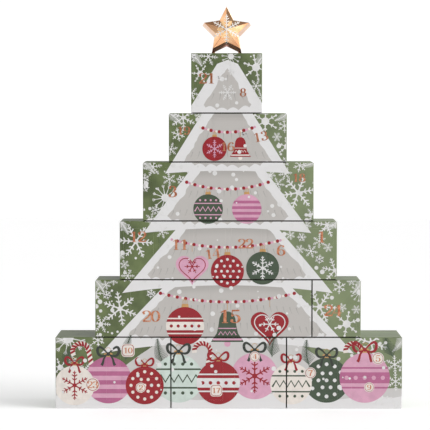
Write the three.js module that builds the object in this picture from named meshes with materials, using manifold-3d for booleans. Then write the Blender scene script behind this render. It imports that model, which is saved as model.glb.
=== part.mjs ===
// Candle advent calendar tower: nine printed cartons stacked in six stepped rows,
// twenty-four numbered doors, a candle behind every door and a foil star on top.
// Millimetres, +Z up, front faces towards -Y, origin on the floor under the middle of the box.

import * as THREE from "three";
import * as BufferGeometryUtils from "three/addons/utils/BufferGeometryUtils.js";
import Module from "manifold-3d";

const wasm = await Module();
wasm.setup();

// Board and clearances
const wall = 1.5; // carton walls, partitions and shelves
const deckBoard = 1.0; // thinner card of the candle decks
const kerf = 0.3; // cut round each door
const glueLine = 0.3; // between cartons
const seatGap = 0.3; // round and under a candle
const overrun = 1; // how far a cutter passes through what it cuts
const lap = 0.5; // how far a glued board runs into its neighbour

// Row 1 has three equal cartons; row 2 has a wide one and a narrow one
const row1Cartons = 3;
const row2WideCarton = 249.7;
const row2NarrowCarton = 56;

// Rows from the floor up; shift moves a row's middle along X
const row1 = { width: 400, height: 82.8, shift: 0, depth: 76 };
const row2 = { width: row2WideCarton + glueLine + row2NarrowCarton, height: 66.2, shift: -0.9, depth: 54 };
const row3 = { width: 250, height: 67.5, shift: -0.5, depth: 54 };
const row4 = { width: 196.2, height: 67.5, shift: -0.6, depth: 54 };
const row5 = { width: 135.4, height: 55.8, shift: -1.1, depth: 54 };
const row6 = { width: 81.4, height: 68.4, shift: -2.5, depth: 54 };

// Cells
const row1VotiveCell = 62;
const row2FirstCell = 108;

// Doors: width and height, centred on their cell unless a distance is given
const row1VotiveDoor = { width: 52, height: 62 };
const row1TeaDoor = { width: 46, height: 30 };
const row2Door = { width: 46, height: 54 };
const row3Door = { width: 34, height: 50 };
const row4Door = { width: 46, height: 54 };
const row5Door = { width: 36, height: 44 };
const row6Door = { width: 32, height: 52 };
const row2FirstDoorFromLeft = 64;
const row2SecondDoorFromLeft = 155;
const row4DoorFromEdge = 32;

// Candles
const teaRadius = 18.75;
const teaHeight = 17;
const teaRim = 0.5;
const votiveTopRadius = 22;
const votiveFootRadius = 20;
const votiveHeight = 50;
const votiveRim = 1.8;
const waxBelowRim = 3;
const wickRadius = 1.2;
const wickHeight = 5;
const roundSides = 18;

// Decks: how high the card with the locating hole lies over the cell's floor
const teaDeckLift = 4;
const votiveDeckLift = 5;
const deckSetback = 2; // gap between a deck and the inside of the front

// Star
const starTip = 29.6;
const starNotch = 15.4;
const starRimTip = 27.3;
const starRimNotch = 13.8;
const starDepth = 20;
const starRise = 4;
const starWall = 1.2;
const starBack = 1.2;
const starLean = THREE.MathUtils.degToRad(8.8);
const starPoints = 5;
const tabWidth = 3.6;
const tabThickness = 1.2;
const tabLength = 9;
const tabFromMiddle = 15.2;
const tabLap = 3; // how far a tab runs up into the star's foot

// Colours from the print
const mossGreen = 0x7a8a5d;
const snowGrey = 0xc4c0bc;
const crimson = 0xa01a30;
const waxCream = 0xf2ead8;
const tinSilver = 0xc9ccd0;
const copper = 0xc8906a;

function cardFinish(color) {
  return new THREE.MeshStandardMaterial({ color, roughness: 0.6, metalness: 0 });
}

// A closed mesh as a solid: only positions, shared vertices merged, no collapsed triangles
function solidOf(geometry) {
  const bare = new THREE.BufferGeometry();
  bare.setAttribute("position", geometry.getAttribute("position").clone());
  bare.setIndex(geometry.getIndex() ? geometry.getIndex().clone() : null);
  const merged = BufferGeometryUtils.mergeVertices(bare, 1e-4);
  const index = merged.getIndex().array;
  const kept = [];
  for (let i = 0; i < index.length; i += 3) {
    const [a, b, c] = [index[i], index[i + 1], index[i + 2]];
    if (a !== b && b !== c && c !== a) kept.push(a, b, c);
  }
  const mesh = new wasm.Mesh({
    numProp: 3,
    vertProperties: new Float32Array(merged.getAttribute("position").array),
    triVerts: new Uint32Array(kept),
  });
  return new wasm.Manifold(mesh);
}

function geometryOf(solid) {
  const mesh = solid.getMesh();
  const geometry = new THREE.BufferGeometry();
  geometry.setAttribute("position", new THREE.BufferAttribute(new Float32Array(mesh.vertProperties), 3));
  geometry.setIndex(new THREE.BufferAttribute(new Uint32Array(mesh.triVerts), 1));
  return geometry;
}

// A box between two corners
function block(low, high) {
  const size = high.map((value, axis) => value - low[axis]);
  const middle = high.map((value, axis) => (value + low[axis]) / 2);
  return new THREE.BoxGeometry(...size).translate(...middle);
}

// A round rod standing on Z
function rod(radius, x, y, bottom, top) {
  const geometry = new THREE.CylinderGeometry(radius, radius, top - bottom, roundSides);
  return geometry.rotateX(Math.PI / 2).translate(x, y, (bottom + top) / 2);
}

const tower = new THREE.Group();

function addPiece(name, geometry, material) {
  const mesh = new THREE.Mesh(geometry, material);
  mesh.name = name;
  tower.add(mesh);
  return mesh;
}

// Where each row stands
const front = -row1.depth / 2;
const deckFront = front + wall + deckSetback;
const rows = [row1, row2, row3, row4, row5, row6];
let floor = 0;
for (const row of rows) {
  row.bottom = floor;
  row.top = floor + row.height;
  row.left = row.shift - row.width / 2;
  row.right = row.shift + row.width / 2;
  row.back = front + row.depth;
  floor = row.top + glueLine;
}
const towerTop = row6.top;

// Equal cells side by side between two walls
function equalCells(left, right, count) {
  const width = (right - left - (count - 1) * wall) / count;
  return Array.from({ length: count }, (_, i) => {
    const start = left + i * (width + wall);
    return { left: start, right: start + width };
  });
}

// A cell with its door and its candle
function fit(cell, number, kind, size, middle = (cell.left + cell.right) / 2) {
  return { ...cell, number, kind, size, middle };
}

// The two kinds of candle: a tin tea light and a glass votive
const kinds = {
  tea: { foot: teaRadius, rim: teaRadius, height: teaHeight, edge: teaRim, deckLift: teaDeckLift, color: tinSilver },
  votive: {
    foot: votiveFootRadius,
    rim: votiveTopRadius,
    height: votiveHeight,
    edge: votiveRim,
    deckLift: votiveDeckLift,
    color: waxCream,
  },
};

function candle(kind) {
  const wax = kind.height - waxBelowRim;
  const profile = [
    [0, 0],
    [kind.foot, 0],
    [kind.rim, kind.height],
    [kind.rim - kind.edge, kind.height],
    [kind.rim - kind.edge, wax],
    [wickRadius, wax],
    [wickRadius, wax + wickHeight],
    [0, wax + wickHeight],
  ].map(([x, y]) => new THREE.Vector2(x, y));
  return new THREE.LatheGeometry(profile, roundSides).rotateX(Math.PI / 2);
}

// One carton: a closed box cut out to its cells, with a doorway and a candle deck in each
function carton(name, row, left, right, cells, color) {
  let solid = solidOf(block([left, front, row.bottom], [right, row.back, row.top]));
  for (const cell of cells) {
    cell.bottom ??= row.bottom + wall;
    cell.top ??= row.top - wall;
    const inner = block([cell.left, front + wall, cell.bottom], [cell.right, row.back - wall, cell.top]);
    solid = solid.subtract(solidOf(inner));
  }
  for (const cell of cells) {
    const { width, height } = cell.size;
    const hinge = cell.middle - width / 2;
    const sill = (cell.bottom + cell.top - height) / 2;
    const kind = kinds[cell.kind];
    const depthMiddle = (front + row.back) / 2;
    const deckBottom = cell.bottom + kind.deckLift;
    const deckTop = deckBottom + deckBoard;
    const atDeck = kind.foot + ((kind.rim - kind.foot) * (kind.deckLift + deckBoard)) / kind.height;
    const deck = solidOf(
      block([cell.left - lap, deckFront, deckBottom], [cell.right + lap, row.back - wall + lap, deckTop]),
    );
    const hole = solidOf(
      rod(atDeck + seatGap, cell.middle, depthMiddle, deckBottom - overrun, deckTop + overrun),
    );
    solid = solid.add(deck.subtract(hole));

    const doorway = block(
      [hinge - kerf, front - overrun, sill - kerf],
      [hinge + width + kerf, front + wall + overrun, sill + height + kerf],
    );
    solid = solid.subtract(solidOf(doorway));

    const door = block([0, 0, 0], [width, wall, height]);
    const doorMesh = addPiece(`door_${cell.number}`, door, cardFinish(color));
    doorMesh.position.set(hinge, front, sill);

    const candleFinish = new THREE.MeshStandardMaterial({ color: kind.color, roughness: 0.35, metalness: 0 });
    const candleMesh = addPiece(`candle_${cell.number}`, candle(kind), candleFinish);
    candleMesh.position.set(cell.middle, depthMiddle, cell.bottom + seatGap);
  }
  if (row === row6) solid = cutStarSlots(solid);
  addPiece(name, geometryOf(solid), cardFinish(color));
}

// The star stands over the middle of the top carton's depth and leans back on its two feet
const starPlane = (front + row6.back) / 2 + starDepth / 2;
const footAngle = Math.PI / starPoints;
const footReach = starTip * Math.cos(footAngle);
const tabFront = starPlane - footReach * Math.sin(starLean) + seatGap + tabLap * Math.tan(starLean);

// Slots in the top board for the star's two tabs
function cutStarSlots(solid) {
  for (const side of [-1, 1]) {
    const x = row6.shift + side * tabFromMiddle;
    const half = tabWidth / 2 + seatGap;
    const slot = block(
      [x - half, tabFront - seatGap, towerTop - wall - overrun],
      [x + half, tabFront + tabThickness + seatGap, towerTop + overrun],
    );
    solid = solid.subtract(solidOf(slot));
  }
  return solid;
}

// Row 1: each side carton has a votive cell and a column of two tea-light cells
const row1Pitch = (row1.width - (row1Cartons - 1) * glueLine) / row1Cartons;
const row1Left = (i) => row1.left + i * (row1Pitch + glueLine);
const shelf = (row1.bottom + row1.top) / 2;

function sideCells(left, votiveNumber, upperNumber, lowerNumber) {
  const start = left + wall;
  const column = { left: start + row1VotiveCell + wall, right: left + row1Pitch - wall };
  return [
    fit({ left: start, right: start + row1VotiveCell }, votiveNumber, "votive", row1VotiveDoor),
    fit({ ...column, bottom: shelf + wall / 2 }, upperNumber, "tea", row1TeaDoor),
    fit({ ...column, top: shelf - wall / 2 }, lowerNumber, "tea", row1TeaDoor),
  ];
}

function row1Carton(name, index, cells) {
  carton(name, row1, row1Left(index), row1Left(index) + row1Pitch, cells, snowGrey);
}

row1Carton("row_1_left_carton", 0, sideCells(row1Left(0), 23, 10, 2));
const middleCells = equalCells(row1Left(1) + wall, row1Left(1) + row1Pitch - wall, 2);
row1Carton("row_1_middle_carton", 1, [
  fit(middleCells[0], 17, "votive", row1VotiveDoor),
  fit(middleCells[1], 4, "votive", row1VotiveDoor),
]);
row1Carton("row_1_right_carton", 2, sideCells(row1Left(2), 7, 5, 9));

// Row 2: the wide carton holds two votives, the narrow one a third
const row2Split = row2.left + row2WideCarton;
const row2Start = row2.left + wall;
const row2Partition = row2Start + row2FirstCell;
carton("row_2_wide_carton", row2, row2.left, row2Split, [
  fit({ left: row2Start, right: row2Partition }, 20, "votive", row2Door, row2.left + row2FirstDoorFromLeft),
  fit(
    { left: row2Partition + wall, right: row2Split - wall },
    15,
    "votive",
    row2Door,
    row2.left + row2SecondDoorFromLeft,
  ),
], crimson);
const row2Narrow = { left: row2Split + glueLine + wall, right: row2.right - wall };
carton("row_2_narrow_carton", row2, row2Split + glueLine, row2.right, [
  fit(row2Narrow, 24, "votive", row2Door),
], mossGreen);

// Rows 3, 5 and 6: equal tea-light cells
function teaRow(name, row, numbers, size, color) {
  const cells = equalCells(row.left + wall, row.right - wall, numbers.length);
  carton(name, row, row.left, row.right, cells.map((cell, i) => fit(cell, numbers[i], "tea", size)), color);
}

teaRow("row_3_carton", row3, [12, 11, 14, 22, 6, 1], row3Door, mossGreen);

// Row 4: a votive near each end
const row4Cells = equalCells(row4.left + wall, row4.right - wall, 2);
carton("row_4_carton", row4, row4.left, row4.right, [
  fit(row4Cells[0], 3, "votive", row4Door, row4.left + row4DoorFromEdge),
  fit(row4Cells[1], 18, "votive", row4Door, row4.right - row4DoorFromEdge),
], mossGreen);

teaRow("row_5_carton", row5, [19, 16, 13], row5Door, mossGreen);
teaRow("row_6_carton", row6, [21, 8], row6Door, mossGreen);

// Star outline: tips and notches in turn, the first tip upwards
function starOutline(tip, notch, y) {
  return Array.from({ length: 2 * starPoints }, (_, i) => {
    const angle = Math.PI / 2 - (i * Math.PI) / starPoints;
    const radius = i % 2 === 0 ? tip : notch;
    return [radius * Math.cos(angle), y, radius * Math.sin(angle)];
  });
}

// A closed body from a back outline to a front outline, the front rising to a point in the middle
function starBody(back, frontOutline, backMiddle, frontMiddle) {
  const points = [...back, ...frontOutline, backMiddle, frontMiddle];
  const count = back.length;
  const faces = [];
  for (let i = 0; i < count; i++) {
    const next = (i + 1) % count;
    faces.push(i, count + i, count + next, i, count + next, next);
    faces.push(2 * count, i, next);
    faces.push(2 * count + 1, count + next, count + i);
  }
  const geometry = new THREE.BufferGeometry();
  geometry.setAttribute("position", new THREE.BufferAttribute(new Float32Array(points.flat()), 3));
  geometry.setIndex(faces);
  return geometry;
}

// How much an outline shrinks when every edge moves in by one wall
function inset(tip, notch) {
  const turn = Math.PI / starPoints;
  const edge = Math.hypot(tip - notch * Math.cos(turn), notch * Math.sin(turn));
  const reach = (tip * notch * Math.sin(turn)) / edge;
  return (reach - starWall) / reach;
}

const outer = starBody(
  starOutline(starTip, starNotch, 0),
  starOutline(starRimTip, starRimNotch, -starDepth),
  [0, 0, 0],
  [0, -starDepth - starRise, 0],
);
const backScale = inset(starTip, starNotch);
const rimScale = inset(starRimTip, starRimNotch);
const hollow = starBody(
  starOutline(starTip * backScale, starNotch * backScale, overrun),
  starOutline(starRimTip * rimScale, starRimNotch * rimScale, -starDepth + starWall),
  [0, overrun, 0],
  [0, -starDepth - starRise + starWall, 0],
);

// The lowest edge is the back cover's at the feet
const footDrop = footReach * Math.cos(starLean) + (starBack + seatGap) * Math.sin(starLean);
const starHeight = towerTop + seatGap + footDrop;

function leaned(solid) {
  const geometry = geometryOf(solid);
  return geometry.rotateX(-starLean).translate(row6.shift, starPlane, starHeight);
}

const starFinish = new THREE.MeshStandardMaterial({ color: copper, roughness: 0.2, metalness: 1 });
addPiece("star_front", leaned(solidOf(outer).subtract(solidOf(hollow))), starFinish);

const cover = solidOf(
  starBody(
    starOutline(starTip, starNotch, seatGap + starBack),
    starOutline(starTip, starNotch, seatGap),
    [0, seatGap + starBack, 0],
    [0, seatGap, 0],
  ),
);
let backPiece = solidOf(leaned(cover));
for (const side of [-1, 1]) {
  const x = row6.shift + side * tabFromMiddle;
  const tab = block(
    [x - tabWidth / 2, tabFront, towerTop + seatGap - tabLength],
    [x + tabWidth / 2, tabFront + tabThickness, towerTop + seatGap + tabLap],
  );
  backPiece = backPiece.add(solidOf(tab));
}
addPiece("star_back", geometryOf(backPiece), starFinish.clone());

export default tower;
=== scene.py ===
import math
import random

import bmesh
import bpy
from mathutils import Matrix, Vector


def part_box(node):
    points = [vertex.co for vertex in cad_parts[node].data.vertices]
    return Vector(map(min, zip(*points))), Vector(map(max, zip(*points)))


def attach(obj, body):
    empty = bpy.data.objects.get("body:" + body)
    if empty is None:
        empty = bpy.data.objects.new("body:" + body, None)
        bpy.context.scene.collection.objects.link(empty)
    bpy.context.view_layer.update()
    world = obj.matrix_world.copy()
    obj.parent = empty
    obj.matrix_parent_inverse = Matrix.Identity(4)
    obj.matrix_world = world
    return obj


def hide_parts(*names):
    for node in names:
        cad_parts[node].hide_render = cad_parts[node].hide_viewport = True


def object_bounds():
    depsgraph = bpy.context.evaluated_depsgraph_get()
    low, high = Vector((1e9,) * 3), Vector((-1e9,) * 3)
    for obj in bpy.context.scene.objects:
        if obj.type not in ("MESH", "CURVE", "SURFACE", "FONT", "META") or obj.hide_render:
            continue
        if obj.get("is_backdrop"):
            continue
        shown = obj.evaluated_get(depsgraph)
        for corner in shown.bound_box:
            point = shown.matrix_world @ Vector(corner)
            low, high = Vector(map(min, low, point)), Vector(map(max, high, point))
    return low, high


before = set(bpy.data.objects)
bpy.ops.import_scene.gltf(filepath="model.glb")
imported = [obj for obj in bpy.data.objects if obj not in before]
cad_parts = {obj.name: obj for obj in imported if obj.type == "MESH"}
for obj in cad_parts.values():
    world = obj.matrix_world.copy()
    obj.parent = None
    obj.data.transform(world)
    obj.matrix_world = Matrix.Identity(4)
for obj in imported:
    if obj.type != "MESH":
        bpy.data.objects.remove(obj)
cad_low, cad_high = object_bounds()

# Cartons
# Nine boxes of rigid board, folded and glued, wrapped outside in printed paper and lined white.
# The paper turns softly over every outer edge, and the ends of most lids are rounder.
mm = 0.001
edge_round = 0.6 * mm
edge_steps = 2
lid_round = 2.2 * mm
lid_steps = 5
square_rows = ("row_1", "row_6")  # their lids' corners are turned like every other edge
outline_strip = 3.2 * mm  # flat faces stay divided this far from their ends, for the rounding
touching = 0.01 * mm
squarely = 0.99  # a face looks along an axis if its normal has at least this much of it
board_slots = range(5)  # the material slots of a carton and of a door
# the second slot holds the painted shade of the seams between cartons
wrap, seam_shade_slot, lining, shown_edge, lid_top = board_slots


def new_piece(name, mesh):
    piece = bpy.data.objects.new(name, mesh)
    bpy.context.collection.objects.link(piece)
    return piece


def pick(piece):
    """Only this piece is selected and active"""
    bpy.ops.object.select_all(action="DESELECT")
    piece.select_set(True)
    bpy.context.view_layer.objects.active = piece


def open_mesh(piece, mode="FACE"):
    """Only this piece is in edit mode, with nothing of it selected"""
    pick(piece)
    bpy.ops.object.mode_set(mode="EDIT")
    bpy.ops.mesh.select_mode(type=mode)
    bpy.ops.mesh.select_all(action="DESELECT")


def close_mesh():
    bpy.ops.object.mode_set(mode="OBJECT")


def split(shape, place, away, exact=1e-7, drop=False):
    """Divides faces along a plane, and may drop what lies on its far side.
    Returns what lies on the plane."""
    everything = shape.verts[:] + shape.edges[:] + shape.faces[:]
    plane = {"dist": exact, "plane_co": place, "plane_no": away, "clear_outer": drop}
    return bmesh.ops.bisect_plane(shape, geom=everything, **plane)["geom_cut"]


def board_from(node, name, scores=()):
    """The node's shape as a new piece, its loose triangles merged into flat faces.
    Scores are planes, as (axis, place), on which its faces stay divided for the work after."""
    piece = new_piece(name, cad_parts[node].data.copy())
    piece.data.materials.clear()
    open_mesh(piece)
    bpy.ops.mesh.select_all(action="SELECT")
    bpy.ops.mesh.customdata_custom_splitnormals_clear()
    bpy.ops.mesh.remove_doubles(threshold=touching)
    shape = bmesh.from_edit_mesh(piece.data)
    for axis, place in scores:
        away = Vector([float(other == axis) for other in range(3)])
        for part in split(shape, away * place, away):
            if isinstance(part, bmesh.types.BMEdge):
                part.seam = True
    bmesh.update_edit_mesh(piece.data)
    bpy.ops.mesh.select_all(action="SELECT")
    bpy.ops.mesh.dissolve_limited(angle_limit=math.radians(1), delimit={"SEAM"})
    close_mesh()
    piece.data.shade_flat()
    return piece


def box_sides(point, low, high):
    """The sides of a box that a point lies on, as (axis, place)"""
    sides = [(axis, end[axis]) for axis in range(3) for end in (low, high)]
    return {(axis, place) for axis, place in sides if abs(point[axis] - place) < touching}


def shared_sides(a, b, low, high):
    return box_sides(a, low, high) & box_sides(b, low, high)


def soften(piece, wanted, radius, steps, slot):
    """Rounds the edges whose two ends are wanted"""
    open_mesh(piece, "EDGE")
    shape = bmesh.from_edit_mesh(piece.data)
    for edge in shape.edges:
        edge.select_set(bool(wanted(edge.verts[0].co, edge.verts[1].co)))
    shape.select_flush_mode()
    bmesh.update_edit_mesh(piece.data)
    bpy.ops.mesh.bevel(offset=radius, segments=steps, affect="EDGES", material=slot, clamp_overlap=False)
    close_mesh()


def row_of(node):
    return node[: len("row_1")]


def card_slots(piece, low, high):
    """Printed wrap on the outer sides, white lining everywhere else"""
    for slot in board_slots:
        piece.data.materials.append(None)
    for face in piece.data.polygons:
        flat = max(abs(part) for part in face.normal) > squarely
        outside = flat and box_sides(face.center, low, high)
        printed_slot = lid_top if face.normal.z > squarely else wrap
        face.material_index = printed_slot if outside else lining


carton_nodes = sorted(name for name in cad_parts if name.endswith("_carton"))
row_boxes = {}
for node in carton_nodes:
    row_boxes.setdefault(row_of(node), []).append(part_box(node))
row_ends = {}
for row, boxes in row_boxes.items():
    row_ends[row] = (min(low.x for low, high in boxes), max(high.x for low, high in boxes))

cartons = {}
painted_shade_sheets = []
for node in carton_nodes:
    low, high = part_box(node)
    left, right = row_ends[row_of(node)]
    row_over = f"row_{int(row_of(node)[-1]) + 1}"
    covered = row_ends.get(row_over, (0.0, 0.0))
    scores = [(axis, low[axis] + outline_strip) for axis in range(3)]
    scores += [(axis, high[axis] - outline_strip) for axis in range(3)] + [(0, end) for end in covered]
    board = board_from(node, node + "_board", scores)
    card_slots(board, low, high)

    def lid_corner(a, b):
        """A lid's edge at an end of its row, in the rows with rounded lids"""
        shared = shared_sides(a, b, low, high)
        at_end = {(0, left), (0, right)} & shared
        return row_of(node) not in square_rows and (2, high.z) in shared and at_end

    def turned_edge(a, b):
        """A box edge, or the bend of a rounded lid corner on the front or the back"""
        shared = shared_sides(a, b, low, high)
        reach = lid_round + touching
        cornered = all(
            p.z > high.z - reach and (p.x < low.x + reach or p.x > high.x - reach) for p in (a, b)
        )
        return len(shared) >= 2 or (any(axis == 1 for axis, place in shared) and cornered)

    soften(board, lid_corner, lid_round, lid_steps, wrap)
    # The rounded edges first take the near-black painted seam shade; those left in the open get the wrap,
    # the picture or the lid back below
    soften(board, turned_edge, edge_round, edge_steps, seam_shade_slot)
    for face in board.data.polygons:
        middle = face.center
        at_end = any(abs(middle.x - end) < edge_round for end in (left, right))
        bare_top = middle.z > high.z - edge_round and not covered[0] < middle.x < covered[1]
        if face.material_index == seam_shade_slot and (at_end or middle.z < edge_round):
            face.material_index = shown_edge if middle.y < low.y + edge_round else wrap
        elif face.material_index == seam_shade_slot and bare_top:
            face.material_index = lid_top
    cartons[node] = board
    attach(board, "tower")
    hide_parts(node)

# Painted shade: a thin near-black sheet fills the gap between each row and the one under it
shade_sheet_inset = 2.5 * mm
shade_sheet_gap = 0.02 * mm
for upper in range(2, 7):
    above, below = row_boxes[f"row_{upper}"], row_boxes[f"row_{upper - 1}"]
    left, right = row_ends[f"row_{upper}"]
    back = min(high.y for low, high in above + below)
    low = Vector((left + shade_sheet_inset, above[0][0].y + shade_sheet_inset, below[0][1].z + shade_sheet_gap))
    high = Vector((right - shade_sheet_inset, back - shade_sheet_inset, above[0][0].z - shade_sheet_gap))
    bpy.ops.mesh.primitive_cube_add(size=1)
    painted_shade_sheet = bpy.context.object
    painted_shade_sheet.name = f"row_{upper}_glue"
    painted_shade_sheet.data.transform(Matrix.Diagonal((*(high - low), 1)))
    painted_shade_sheet.data.transform(Matrix.Translation((low + high) / 2))
    painted_shade_sheets.append(painted_shade_sheet)
    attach(painted_shade_sheet, "tower")


# Doors
# Each door is a panel of the same board, cut out of the front along a perforated line and
# creased at its left side. Its free edges show the white core of the board.
door_round = 0.12 * mm
doors = {}
for number in range(1, 25):
    node = f"door_{number}"
    low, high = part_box(node)
    board = board_from(node, node + "_board")
    card_slots(board, low, high)
    for face in board.data.polygons:
        face.material_index = wrap if face.normal.y < -squarely else lining

    def panel_edge(a, b):
        return len(shared_sides(a, b, low, high)) >= 2

    soften(board, panel_edge, door_round, edge_steps, lining)
    for face in board.data.polygons:
        if face.center.x < low.x + door_round:
            face.material_index = shown_edge
    doors[number] = board
    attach(board, node)
    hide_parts(node)


# Printed fronts
# One sheet of satin-coated paper on the front of every carton, cut with the doors, which keep
# their own part of it. The picture runs on from sheet to sheet across the whole tower.
paper = 0.1 * mm
door_cut = 0.3 * mm
door_paper_reach = 0.24 * mm  # a door's paper bridges most of the cut on its three free sides
crease_gap = 0.08 * mm  # and the carton's paper comes this near to its crease
crease_width = 3.4 * mm  # on each side of a crease, the strip where paper and inks are pressed flat
crease_end = 0.3 * mm
most_pressed = 0.02  # what is left of their thickness at the crease
wall_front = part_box("row_1_left_carton")[0].y


def mesh_of(shape, name):
    mesh = bpy.data.meshes.new(name)
    shape.to_mesh(mesh)
    shape.free()
    return mesh


def front_faces(board, name):
    """The front faces of a board as a sheet of paper of their own"""
    shape = bmesh.new()
    shape.from_mesh(board.data)
    front = min(vertex.co.y for vertex in shape.verts) + touching
    behind = [f for f in shape.faces if f.normal.y > -squarely or f.calc_center_median().y > front]
    bmesh.ops.delete(shape, geom=behind, context="FACES")
    for face in shape.faces:
        face.material_index = 0
    return new_piece(name, mesh_of(shape, name))


def give_thickness(piece, depth, offset):
    """A flat sheet becomes a closed solid"""
    pick(piece)
    solid = piece.modifiers.new("thickness", "SOLIDIFY")
    solid.thickness = depth
    solid.offset = offset
    bpy.ops.object.modifier_apply(modifier=solid.name)


def score_creases(shape, creases):
    """Lines where the strips beside the creases of doors begin and end"""
    for x, bottom, top in creases:
        for beside in (x - crease_width, x + crease_width):
            split(shape, (beside, 0, 0), (1, 0, 0))
        for z in (bottom - crease_end, bottom, top, top + crease_end):
            split(shape, (0, 0, z), (0, 0, 1))


def press_creases(piece, creases):
    """Paper and inks get ever thinner towards a crease, so that the door can fold back on them"""
    for vertex in piece.data.vertices:
        for x, bottom, top in creases:
            away = abs(vertex.co.x - x) / crease_width
            if away < 1 and bottom - touching < vertex.co.z < top + touching:
                vertex.co.y = wall_front + (vertex.co.y - wall_front) * max(away, most_pressed)


def sheet_on(sheet, creases, body):
    """A flat sheet becomes paper that is glued to a body"""
    shape = bmesh.new()
    shape.from_mesh(sheet.data)
    score_creases(shape, creases)
    shape.to_mesh(sheet.data)
    shape.free()
    give_thickness(sheet, paper, 1)
    press_creases(sheet, creases)
    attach(sheet, body)
    sheets.append(sheet)


sheets = []
door_boxes = {number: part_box(f"door_{number}") for number in doors}


def doors_in(node):
    """The boxes of the doors in a carton's front"""
    low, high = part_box(node)
    return [box for box in door_boxes.values() if low.x < box[0].x < high.x and low.z < box[0].z < high.z]


def crease(low, high, beyond):
    """The crease of a door's box, as its x, its lower and its upper end"""
    return low.x, low.z - beyond, high.z + beyond


for node, board in cartons.items():
    sheet = front_faces(board, node + "_print")
    for low, high in door_boxes.values():
        for vertex in sheet.data.vertices:
            beside = abs(vertex.co.x - low.x + door_cut) < touching
            level = abs(vertex.co.z - (low.z + high.z) / 2) < (high.z - low.z) / 2 + door_cut + touching
            if beside and level:
                vertex.co.x = low.x - crease_gap
    sheet_on(sheet, [crease(*box, door_cut) for box in doors_in(node)], "tower")
for number, board in doors.items():
    sheet = front_faces(board, f"door_{number}_print")
    low, high = door_boxes[number]
    for vertex in sheet.data.vertices:
        left_half, lower_half = vertex.co.x < (low.x + high.x) / 2, vertex.co.z < (low.z + high.z) / 2
        vertex.co.x = low.x if left_half else high.x + door_paper_reach
        vertex.co.z = low.z - door_paper_reach if lower_half else high.z + door_paper_reach
    sheet_on(sheet, [crease(low, high, door_paper_reach)], f"door_{number}")


class Value:
    """A socket of a material, on which Python's arithmetic adds the nodes"""

    def __init__(self, tree, socket):
        self.tree = tree
        self.socket = socket

    def node(self, kind, settings=None, sockets=None, output=0):
        """Any node: its type, its settings, the values or links of its sockets, and its output"""
        made = self.tree.nodes.new(kind)
        for name, value in (settings or {}).items():
            setattr(made, name, value)
        for name, value in (sockets or {}).items():
            if isinstance(value, Value):
                self.tree.links.new(value.socket, made.inputs[name])
            else:
                made.inputs[name].default_value = value
        return Value(self.tree, made.outputs[output])

    def maths(self, operation, *numbers):
        sockets = dict(enumerate((self, *numbers)))
        return self.node("ShaderNodeMath", {"operation": operation}, sockets)

    def __add__(self, other):
        return self.maths("ADD", other)

    def __sub__(self, other):
        return self.maths("SUBTRACT", other)

    def __rsub__(self, other):
        return self.maths("MULTIPLY", -1) + other

    def __mul__(self, other):
        return self.maths("MULTIPLY", other)

    def __truediv__(self, other):
        return self.maths("DIVIDE", other)

    def __pow__(self, other):
        return self.maths("POWER", other)

    def __abs__(self):
        return self.maths("ABSOLUTE")

    def floor(self):
        return self.maths("FLOOR")

    def least(self, other):
        return self.maths("MINIMUM", other)

    def most(self, other):
        return self.maths("MAXIMUM", other)

    __radd__ = __add__
    __rmul__ = __mul__

    def axis(self, name):
        return self.node("ShaderNodeSeparateXYZ", {}, {0: self}, "XYZ".index(name))

    def part(self, name):
        """One coordinate of a place, in millimetres"""
        return self.axis(name) * (1 / mm)

    def drawn_out(self, share):
        """A place on which noise is drawn out upwards, to streaks"""
        return self.node("ShaderNodeMapping", {}, {"Vector": self, "Scale": (1, 1, share)})

    def rise(self, start, end):
        """0 below start, 1 above end, smooth between"""
        sockets = {"Value": self, "From Min": start, "From Max": end}
        return self.node("ShaderNodeMapRange", {"interpolation_type": "SMOOTHSTEP"}, sockets)

    def above(self, soft=0.15):
        """1 where the value is above 0, 0 where it is below, with a soft border"""
        return self.rise(-soft, soft)

    def between(self, first, second):
        """The first colour where this mask is 0, the second where it is 1"""
        settings = {"data_type": "RGBA"}
        return self.node("ShaderNodeMix", settings, {"Factor": self, 6: first, 7: second}, 2)

    def shades(self, first, second):
        """From one printed colour to another, for cloudy values"""
        return self.rise(0.3, 0.7).between(colour(*first), colour(*second))

    def noise(self, scale, detail=2.0, roughness=0.5):
        """Cloudy values about a half, for a place"""
        sockets = {"Vector": self, "Scale": scale, "Detail": detail, "Roughness": roughness}
        return self.node("ShaderNodeTexNoise", {}, sockets)

    def bump(self, height, strength, distance):
        sockets = {"Height": height, "Strength": strength, "Distance": distance}
        return self.node("ShaderNodeBump", {}, sockets)


def colour(red, green, blue):
    """A colour as printed, 0 to 255, in the linear light that shaders use"""
    parts = [part / 255 for part in (red, green, blue)]
    return (*(part / 12.92 if part <= 0.04045 else ((part + 0.055) / 1.055) ** 2.4 for part in parts), 1.0)


def finish_of(name, **constants):
    """A new material: its shader, and the place on the piece that it is worked out for"""
    made = bpy.data.materials.new(name)
    made.use_nodes = True
    shader = made.node_tree.nodes["Principled BSDF"]
    for socket, value in constants.items():
        shader.inputs[socket.replace("_", " ").title().replace("Ior", "IOR")].default_value = value
    coordinates = made.node_tree.nodes.new("ShaderNodeTexCoord")
    return made, shader, Value(made.node_tree, coordinates.outputs["Object"])


def feed(shader, **values):
    for socket, value in values.items():
        value.tree.links.new(value.socket, shader.inputs[socket.replace("_", " ").title()])


moss_dark = colour(74, 86, 49)
moss_light = colour(104, 118, 72)
painted_sheen_green = colour(158, 170, 136)
painted_sheen_share = 0.33  # how much of the painted sheen's pale green there is at the most, towards the right
wall_grey = colour(184, 180, 176)
shade_grey = colour(164, 160, 156)
hill_grey = colour(196, 194, 192)
snow = colour(219, 218, 218)

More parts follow.
